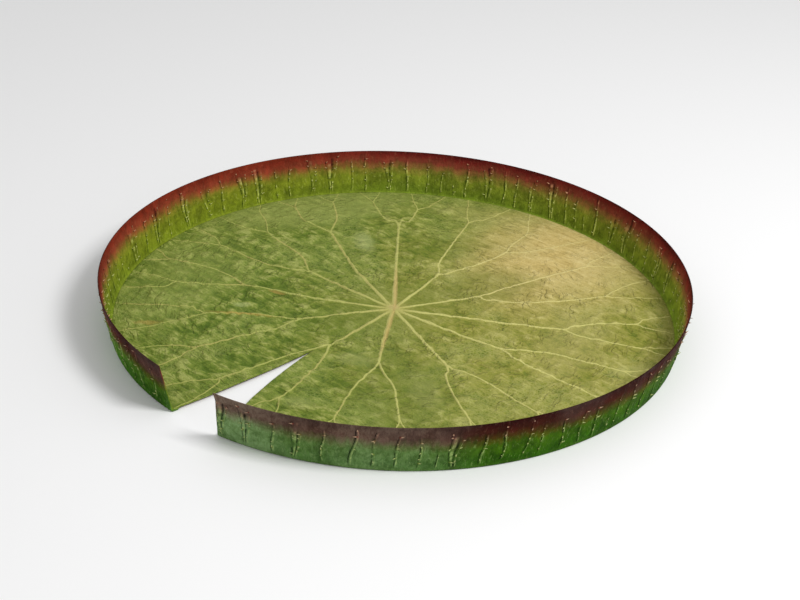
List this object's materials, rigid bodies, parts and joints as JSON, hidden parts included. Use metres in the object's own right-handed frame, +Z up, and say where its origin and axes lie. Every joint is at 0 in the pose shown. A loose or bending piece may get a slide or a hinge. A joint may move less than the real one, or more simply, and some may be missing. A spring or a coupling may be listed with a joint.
{
  "type": "giant water lily pad",
  "caption": "Round floating leaf with an upturned thin rim, a deep V-shaped notch and ribs underneath, cut from its stalk and resting on a surface.",
  "frame": {"origin": "centre of the flat cut end of the stalk, on the plane the pad rests on, under the middle of the leaf", "axes": "+Z up, square to the flat blade; -Y from the centre towards the mouth of the notch"},
  "size_m": [1.5, 1.4948, 0.129],
  "materials": {
    "leaf": "satin, wrinkled leaf skin"
  },
  "bodies": {
    "root": {"leaf": "leaf"}
  },
  "joints": []
}
